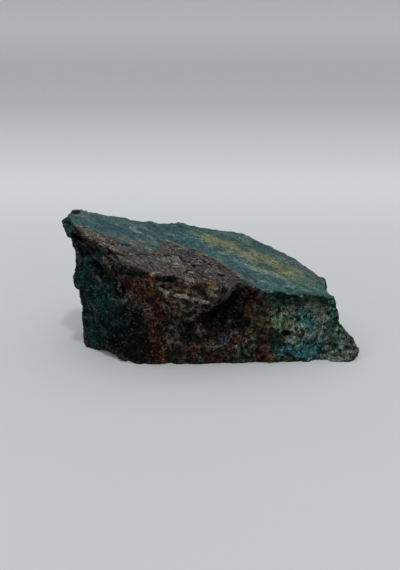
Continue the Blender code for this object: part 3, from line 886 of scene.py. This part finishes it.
# %% [markdown]
# ### Minerals over it
# Each mineral has a deep and a bright tone, mixed in blotches, and a strength. Its mask is frayed by the same
# noises before it tints the rock, so that its border is never a line. That takes four nodes every time: the
# mask, the mask with its noise, a soft ramp and the mix. The function below adds all four.
# Goethite and limonite are the rusts of iron, cuprite the wine-red oxide of copper, malachite its green
# carbonate, chrysocolla the blue-green silicate, and verdigris a pale bloom.

# %% Lay a stain over a colour
def stained(below, mask, noise_by, start, end, strength, tone):
    """The colour `below` with `tone` over it, where the mask with its noise goes from `start` to `end`."""
    patch = add(tree, "ShaderNodeAttribute", attribute_name=mask).outputs["Fac"]
    frayed = add(tree, MATH, {0: patch, 1: noise_by})
    share = add(tree, RAMP, {"Value": frayed, "From Min": start, "From Max": end, "To Max": strength}, **SOFT)
    return add(tree, MIX, {"Factor": share, "A": below, "B": tone}, **COLOURS)


# %% Stains
TONES = {
    "teal": ("#041b1b", "#0d3130", 0.96),
    "green": ("#09251c", "#1c4e3e", 0.93),
    "gold": ("#33291c", "#5a482e", 0.90),
    "rust": ("#29170d", "#502d15", 0.97),
    "maroon": ("#170d0c", "#3b1e1b", 0.95),
    "chrysocolla": ("#214a4f", "#376b6e", 0.90),
    "verdigris": ("#48604f", "#6d8566", 0.85),
    "clay": ("#433b34", "#62574e", 0.85),
    "quartz": ("#434e47", "#647067", 0.90),
}
mottled = add(tree, RAMP, {"Value": blotch, "From Min": 0.34, "From Max": 0.66}, **SOFT)
fray = add(tree, MATH, {0: pepper, 1: 0.3, 2: blotch}, operation="MULTIPLY_ADD")
for mineral, (deep, bright, strength) in TONES.items():
    stain = add(tree, MIX, {"Factor": mottled, "A": paint(deep), "B": paint(bright)}, **COLOURS)
    ground = stained(ground, mineral, fray, 0.78, 1.55, strength, stain)
print("nodes with", len(TONES), "stains:", len(tree.nodes))

# %% [markdown]
# ### Pale seams
# Where the rock was crushed, quartz healed it in a fine net: pale lines round dark crumbs. The edges of
# Voronoi cells are such a net. A few wider veins of pale clay have strokes of their own, and some of the same
# strokes paint highlights along ridges.

# %% Net and veins
CRUMB_WIDTH = 1.7
crumbs = add(tree, CELLS, {"Vector": shaken, "Scale": 1 / CRUMB_WIDTH}, feature="DISTANCE_TO_EDGE")
netted = add(tree, "ShaderNodeAttribute", attribute_name="net").outputs["Fac"]
crushed = add(tree, MATH, {0: netted, 1: blotch})
crushed = add(tree, RAMP, {"Value": crushed, "From Min": 0.75, "From Max": 1.35}, **SOFT)
broken_colour = ground
for start, end, tone, strength in ((0.10, 0.26, "#0a0707", 0.40), (0.12, 0.03, "#625f59", 0.60)):
    part = add(tree, RAMP, {"Value": crumbs, "From Min": start, "From Max": end, "To Max": strength}, **SOFT)
    part = add(tree, MATH, {0: part, 1: crushed}, operation="MULTIPLY")
    broken_colour = add(tree, MIX, {"Factor": part, "A": broken_colour, "B": paint(tone)}, **COLOURS)
# pale veins, and painted highlights along some ridges
broken_colour = stained(broken_colour, "vein_and_ridge_highlight", fray, 0.85, 1.45, 0.90, paint("#7b766b"))
print("crumbs in the net, mm:", CRUMB_WIDTH)

# %% [markdown]
# ### Manganese oxide and painted shade
# It is the last thing to grow, a soot-black skin in the hollows and crevices. Its strokes also carry painted
# shade in the recesses under overhangs and in crevices. It hides seams and stains alike, so it lies over all
# of them.

# %% Black skin and painted shade
soot_and_shade = add(tree, MIX, {"Factor": mottled, "A": paint("#020404"), "B": paint("#080c0b")}, **COLOURS)
broken_colour = stained(broken_colour, "manganese_and_shade", fray, 0.75, 1.55, 0.95, soot_and_shade)
print("nodes of the broken rock:", len(tree.nodes))

# %% [markdown]
# ### The slip face
# Chrysocolla and clay were smeared over this face as it moved, so its colour runs in streaks along the
# slide. The coordinates are turned to that direction and stretched, and then ordinary noise gives streaks.
# Bands of limonite, malachite and deeper blue cross it, with chalky wisps and brown clay between.

# %% Streaks along the slide
BEND_WIDTH = 9.0
bend = add(tree, NOISE, {"Vector": mm, "Scale": 1 / BEND_WIDTH, "Detail": 2.0})
bent = add(tree, VECTOR, {0: bend.outputs["Color"], 1: (5.0, 5.0, 5.0), 2: mm}, operation="MULTIPLY_ADD")
turned = add(tree, "ShaderNodeVectorRotate", {"Vector": bent, "Angle": -slide}, rotation_type="Z_AXIS")
STRETCHES = {"fibres": (3.0, 0.5, 4.0), "streaks": (7.0, 1.2, 2.0), "bands": (13.0, 4.5, 2.0)}
stretched = {}
for name, (long, short, detail) in STRETCHES.items():
    drawn_out = add(tree, VECTOR, {0: turned, 1: (1 / long, 1 / short, 1 / short)}, operation="MULTIPLY")
    stretched[name] = add(tree, NOISE, {"Vector": drawn_out, "Scale": 1.0, "Detail": detail, "Roughness": 0.55},
                          label=name)
    print("%s: %.0f mm long, %.1f mm wide" % (name, long, short))
fibres, streaks, bands = stretched.values()

# %% Smeared chrysocolla
clouded = add(tree, RAMP, {"Value": bands, "From Min": 0.38, "From Max": 0.62}, **SOFT)
greener = add(tree, RAMP, {"Value": cloud, "From Min": 0.42, "From Max": 0.64, "To Max": 0.6}, **SOFT)
slip_colour = add(tree, MIX, {"Factor": clouded, "A": paint("#1f424a"), "B": paint("#28545c")}, **COLOURS)
slip_colour = add(tree, MIX, {"Factor": greener, "A": slip_colour, "B": paint("#2e5853")}, **COLOURS)
smear_fray = add(tree, MATH, {0: streaks, 1: 0.5, 2: bands}, operation="MULTIPLY_ADD")
SMEAR_TONES = {
    "blue_band": ("#1d4a50", "#2a6266", 0.80),
    "green_band": ("#244e44", "#3b6655", 0.85),
    "gold_band": ("#5d6449", "#787a54", 0.88),
    "rim_brown": ("#4a4541", "#645c54", 0.80),
    "chalk": ("#5b706e", "#879590", 0.60),
    "ochre_rim": ("#625a42", "#807655", 0.75),
}
for smear, (deep, bright, strength) in SMEAR_TONES.items():
    stain = add(tree, MIX, {"Factor": clouded, "A": paint(deep), "B": paint(bright)}, **COLOURS)
    slip_colour = stained(slip_colour, smear, smear_fray, 0.70, 1.90, strength, stain)
print("nodes with the slip face:", len(tree.nodes))

# %% [markdown]
# ### The shelf
# Under the blue-green skin the leaves are brown and purple-grey clay, paler along their broken edges and
# nearly black in the cracks between them. Stretched Voronoi cells give the cracks: long plates that part
# along the slide.

# %% Flaked clay
purple = add(tree, RAMP, {"Value": bands, "From Min": 0.42, "From Max": 0.58}, **SOFT)
shelf_colour = add(tree, MIX, {"Factor": purple, "A": paint("#434046"), "B": paint("#544e47")}, **COLOURS)
bared = add(tree, RAMP, {"Value": streaks, "From Min": 0.50, "From Max": 0.68, "To Max": 0.7}, **SOFT)
shelf_colour = add(tree, MIX, {"Factor": bared, "A": shelf_colour, "B": paint("#7d7a75")}, **COLOURS)
for smear in ("rim_brown", "ochre_rim"):
    shelf_colour = stained(shelf_colour, smear, smear_fray, 0.85, 1.60, 0.8, paint(SMEAR_TONES[smear][1]))
SHELF_TONES = {"gold": "#6d5429", "rust": "#6e3615", "green": "#33473c", "clay": "#6d685f", "quartz": "#7c7c74",
               "manganese_and_shade": "#0c0c0c"}
for mineral, tone in SHELF_TONES.items():
    shelf_colour = stained(shelf_colour, mineral, fray, 0.92, 1.55, 0.8, paint(tone))
print("nodes with the shelf:", len(tree.nodes))

# %% Plates of the shelf
PLATE_LONG, PLATE_WIDE = 8.0, 2.8
plate_place = add(tree, VECTOR, {0: shake.outputs["Color"], 1: (1.0, 1.0, 1.0), 2: turned},
                  operation="MULTIPLY_ADD")
plate_place = add(tree, VECTOR, {0: plate_place, 1: (1 / PLATE_LONG, 1 / PLATE_WIDE, 1 / PLATE_WIDE)},
                  operation="MULTIPLY")
plates = add(tree, CELLS, {"Vector": plate_place, "Scale": 1.0}, feature="DISTANCE_TO_EDGE")
gap = add(tree, RAMP, {"Value": plates, "From Min": 0.09, "From Max": 0.02}, **SOFT)
some = add(tree, RAMP, {"Value": cloud, "From Min": 0.46, "From Max": 0.60, "To Max": 0.75}, **SOFT)
parted = add(tree, MATH, {0: gap, 1: some}, operation="MULTIPLY")
shelf_colour = add(tree, MIX, {"Factor": parted, "A": shelf_colour, "B": paint("#100f0f")}, **COLOURS)
print("plates, mm:", PLATE_LONG, "by", PLATE_WIDE)

# %% [markdown]
# ### All together
# The three grounds are joined by their masks, frayed so that no border is a clean line. Each ground has its
# own play of light and dark, partly its own tone and partly painted shade and painted glints: lumps on the
# broken rock, plates on the shelf, wide streaks and hair-fine fibres on the rubbed face, and grain on all
# three. Below, each ground has the darkest value of its grain, and then its patterns with the darkest and
# brightest value of each. One node lays that brightness over the colour and takes back saturation where it
# brightens, so the tint stays as it is and the bright spots turn pale like painted glints.

# %% Light and dark of each ground
LAYERS = {
    "broken": (0.0, [(blotch, 0.74, 1.22)]),
    "shelf": (0.35, [(blotch, 0.85, 1.15), (streaks, 0.80, 1.20), (fibres, 0.30, 1.72)]),
    "slip": (0.35, [(streaks, 0.78, 1.22), (fibres, 0.55, 1.48), (blotch, 0.90, 1.08)]),
}
lights = {}
for kind, (darkest_grain, patterns) in LAYERS.items():
    lights[kind] = add(tree, RAMP, {"Value": grain_glint_and_shade, "To Min": darkest_grain}, clamp=False)
    for pattern, darkest, brightest in patterns:
        tone = add(tree, RAMP, {"Value": pattern, "From Min": 0.28, "From Max": 0.72, "To Min": darkest,
                                "To Max": brightest}, **SOFT)
        lights[kind] = add(tree, MATH, {0: lights[kind], 1: tone}, operation="MULTIPLY")
print("patterns on each ground:", {kind: len(patterns) + 1 for kind, (_, patterns) in LAYERS.items()})

# %% Join the grounds
HOLD_BACK = -0.35
colour, light = broken_colour, lights["broken"]
for kind, fray_by, layer in (("shelf", fray, shelf_colour), ("slip", smear_fray, slip_colour)):
    mask = add(tree, "ShaderNodeAttribute", attribute_name=kind).outputs["Fac"]
    frayed = add(tree, MATH, {0: mask, 1: fray_by})
    share = add(tree, RAMP, {"Value": frayed, "From Min": 0.85, "From Max": 1.45}, **SOFT)
    colour = add(tree, MIX, {"Factor": share, "A": colour, "B": layer}, **COLOURS)
    light = add(tree, MIX, {"Factor": share, "A": light, "B": lights[kind]}, data_type="FLOAT")
on_rubbed = share
held_back = add(tree, MATH, {0: light, 1: HOLD_BACK}, operation="POWER")
colour = add(tree, "ShaderNodeHueSaturation", {"Color": colour, "Saturation": held_back, "Value": light})
print("nodes with the grounds joined:", len(tree.nodes))

# %% [markdown]
# A few single grains stay bright or black anywhere; the bright ones are pale grains with a painted glint.
# Hollows and cracks are darkened with painted shade, and edges turn pale with wear and with a painted
# highlight on the lip of each shelf leaf.

# %% Specks, hollows, cracks and edges
SPECKS_AND_GLINTS = (("Green", 0.95, 0.99, "#757a72", 0.32), ("Blue", 0.16, 0.08, "#040505", 0.55))
PAINTED_SHADE_AND_WEAR = (("painted_hollow_shade", 0.0, "#070808", 0.85), ("crack", 0.0, "#020202", 0.97), ("edge", 0.2, "#7d7a70", 0.09))
for lot, start, end, tone, strength in SPECKS_AND_GLINTS:
    speck = add(tree, RAMP, {"Value": lots.outputs[lot], "From Min": start, "From Max": end,
                             "To Max": strength}, **SOFT)
    colour = add(tree, MIX, {"Factor": speck, "A": colour, "B": paint(tone)}, **COLOURS)
for mask, start, tone, strength in PAINTED_SHADE_AND_WEAR:
    part = add(tree, "ShaderNodeAttribute", attribute_name=mask).outputs["Fac"]
    part = add(tree, RAMP, {"Value": part, "From Min": start, "To Max": strength}, **SOFT)
    colour = add(tree, MIX, {"Factor": part, "A": colour, "B": paint(tone)}, **COLOURS)
print("share of grains that stay bright: %.0f %%" % (100 * (1 - SPECKS_AND_GLINTS[0][1])))

# %% [markdown]
# ### Surface
# Relief finer than the mesh comes from a bump of the same grains and streaks. Quartz has an IOR of 1.54. The
# pits of the break swallow nearly all its gloss, so the specular level is very low.

# %% Roughness and bump
BUMP_HEIGHT, QUARTZ_IOR, BROKEN_GLOSS, RUBBED_GLOSS = 0.26, 1.54, 0.03, 0.16
dull = add(tree, RAMP, {"Value": grainy, "From Min": 0.4, "From Max": 0.85, "To Min": 0.85, "To Max": 0.50})
satin = add(tree, RAMP, {"Value": streaks, "From Min": 0.3, "From Max": 0.7, "To Min": 0.42, "To Max": 0.60})
roughness = add(tree, MIX, {"Factor": on_rubbed, "A": dull, "B": satin}, data_type="FLOAT")
rubbed_height = add(tree, MATH, {0: streaks, 1: fibres})
height = add(tree, MIX, {"Factor": on_rubbed, "A": grainy, "B": rubbed_height}, data_type="FLOAT")
bump = add(tree, "ShaderNodeBump", {"Height": height, "Strength": 0.5, "Distance": BUMP_HEIGHT * MM})
surface = add(tree, "ShaderNodeBsdfPrincipled", {"Base Color": colour, "Roughness": roughness, "Normal": bump,
                                                 "IOR": QUARTZ_IOR, "Specular IOR Level": BROKEN_GLOSS},
              name="surface")
add(tree, "ShaderNodeOutputMaterial", {"Surface": surface})
print("copper_stained_rock:", len(tree.nodes), "nodes")

# %% [markdown]
# ### A satin copy for the rubbed faces
# A broken face is a thicket of tiny pits that swallow its shine. A rubbed face is smooth clay and
# chrysocolla, and keeps a satin gloss. The second material is the first with more gloss, on the squares where
# the slip or shelf mask wins.

# %% Two materials on one skin
rubbed = rock.copy()
rubbed.name = "smeared_chrysocolla"
rubbed.node_tree.nodes["surface"].inputs["Specular IOR Level"].default_value = RUBBED_GLOSS
skin.materials.append(rock)
skin.materials.append(rubbed)
corners = read(skin.polygons, "vertices", 4, np.int32)
is_rubbed = (on_slip + 0.6 * on_shelf)[corners].mean(axis=1) > 0.5
skin.polygons.foreach_set("material_index", is_rubbed.astype(np.int32))
skin.polygons.foreach_set("use_smooth", np.ones(len(corners), bool))
print("rubbed squares:", int(is_rubbed.sum()), "of", len(corners))

# %% [markdown]
# ## Join the stone to the frame
# The dressed stone rides on the one body that the frame has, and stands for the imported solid, which then
# isn't drawn.

# %% Join the stone to the frame
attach(stone, "root")
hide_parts("turquoise_stone")
print(stone.name, "has", sum(len(square.vertices) - 2 for square in skin.polygons), "triangles")

# %% [markdown]
# ## A pale table
# The stone lies on a matt white sheet that sweeps up into a low back board. One strip of mesh gives both,
# and its wide curve lets the brightness of the table melt into the darker upright part.

# %% Sweep
HALF_WIDTH, FRONT, WALL, TOP, CURVE, TURNS = 12000.0, -12000.0, 470.0, 170.0, 120.0, 24
profile = [(FRONT, 0.0), (-200.0, 0.0), (200.0, 0.0)]
for turn in range(TURNS + 1):
    angle = math.radians(90 * turn / TURNS)
    profile.append((WALL - CURVE + CURVE * math.sin(angle), CURVE - CURVE * math.cos(angle)))
profile.append((WALL, TOP))
backdrop_mesh = bpy.data.meshes.new("pale_table")
backdrop_mesh.from_pydata(
    [(side * HALF_WIDTH * MM, y * MM, z * MM) for y, z in profile for side in (-1, 1)], [],
    [(2 * i, 2 * i + 1, 2 * i + 3, 2 * i + 2) for i in range(len(profile) - 1)])
backdrop_mesh.polygons.foreach_set("use_smooth", [True] * (len(profile) - 1))
backdrop = bpy.data.objects.new("pale_table", backdrop_mesh)
bpy.context.scene.collection.objects.link(backdrop)
print("table:", len(profile) - 1, "strips, back board", WALL, "mm behind the stone's middle")

# %% [markdown]
# ### Matt white board
# Coated board is pressed paper pulp with a dull white face. It shows as a pale, cool grey with no gloss. Its
# colour carries painted light and shade that change slowly from front to back and up the board, as light
# falls off over a real table: lighter on the table behind the stone, darker near the board and low on it,
# and lighter again higher up.

# %% Matt white board
paper = bpy.data.materials.new("matt_white_board")
paper.use_nodes = True
board = paper.node_tree
board.nodes.clear()
board_place = add(board, "ShaderNodeTexCoord").outputs["Object"]
pulp = add(board, NOISE, {"Vector": board_place, "Scale": 6.0, "Detail": 2.0})
board_colour = add(board, MIX, {"Factor": pulp, "A": paint("#d5d8da"), "B": paint("#d9dbdd")}, **COLOURS)
spot = add(board, "ShaderNodeSeparateXYZ", {"Vector": board_place})
# painted light and shade: lighter behind the stone, darker near and low on the board, lighter above
PAINTED_LIGHT_FALLOFF = (("Y", 0.08, 0.26, "#e3e5e7"), ("Y", 0.26, 0.43, "#d4d7d9"),
          ("Z", 0.001, 0.040, "#c3c5c7"), ("Z", 0.055, 0.105, "#d9dadb"))
for axis, start, end, tone in PAINTED_LIGHT_FALLOFF:
    part = add(board, RAMP, {"Value": spot.outputs[axis], "From Min": start, "From Max": end}, **SOFT)
    board_colour = add(board, MIX, {"Factor": part, "A": board_colour, "B": paint(tone)}, **COLOURS)
board_face = add(board, "ShaderNodeBsdfPrincipled", {"Base Color": board_colour, "Roughness": 0.9,
                                                     "Specular IOR Level": 0.2})
add(board, "ShaderNodeOutputMaterial", {"Surface": board_face})
backdrop_mesh.materials.append(paper)
print("matt_white_board:", len(board.nodes), "nodes")

# %% [markdown]
# ## Soft light
# The light is one wide soft dome, brighter overhead than near the horizon, as under a large diffuser. It
# wraps the stone and leaves its front in gentle shade. The Standard view shows colours as they are written.

# %% Dome
world = bpy.data.worlds.new("soft_dome")
world.use_nodes = True
sky = world.node_tree
sky.nodes.clear()
direction = add(sky, "ShaderNodeTexCoord").outputs["Generated"]
upward = add(sky, "ShaderNodeSeparateXYZ", {"Vector": direction}).outputs["Z"]
glow = add(sky, RAMP, {"Value": upward, "To Min": 0.34, "To Max": 0.86})
dome = add(sky, "ShaderNodeBackground", {"Color": paint("#fbfcfd"), "Strength": glow})
add(sky, "ShaderNodeOutputWorld", {"Surface": dome})
bpy.context.scene.world = world
bpy.context.scene.view_settings.view_transform = "Standard"
print("soft_dome:", len(sky.nodes), "nodes")

# %% [markdown]
# A weak ceiling lamp, high and a little to the front, lays the soft shadow of the overhanging left end on the
# table. A dome alone would leave no such shadow.

# %% Lamp
TO_LAMP = Vector((6, -16, 46))
lamp = bpy.data.lights.new("ceiling_lamp", "SUN")
lamp.energy, lamp.angle = 0.52, math.radians(6)
ceiling = bpy.data.objects.new("ceiling_lamp", lamp)
ceiling.rotation_euler = TO_LAMP.to_track_quat("Z", "Y").to_euler()
bpy.context.scene.collection.objects.link(ceiling)
print("lamp height over the table, degrees:", round(math.degrees(math.asin(TO_LAMP.normalized().z))))
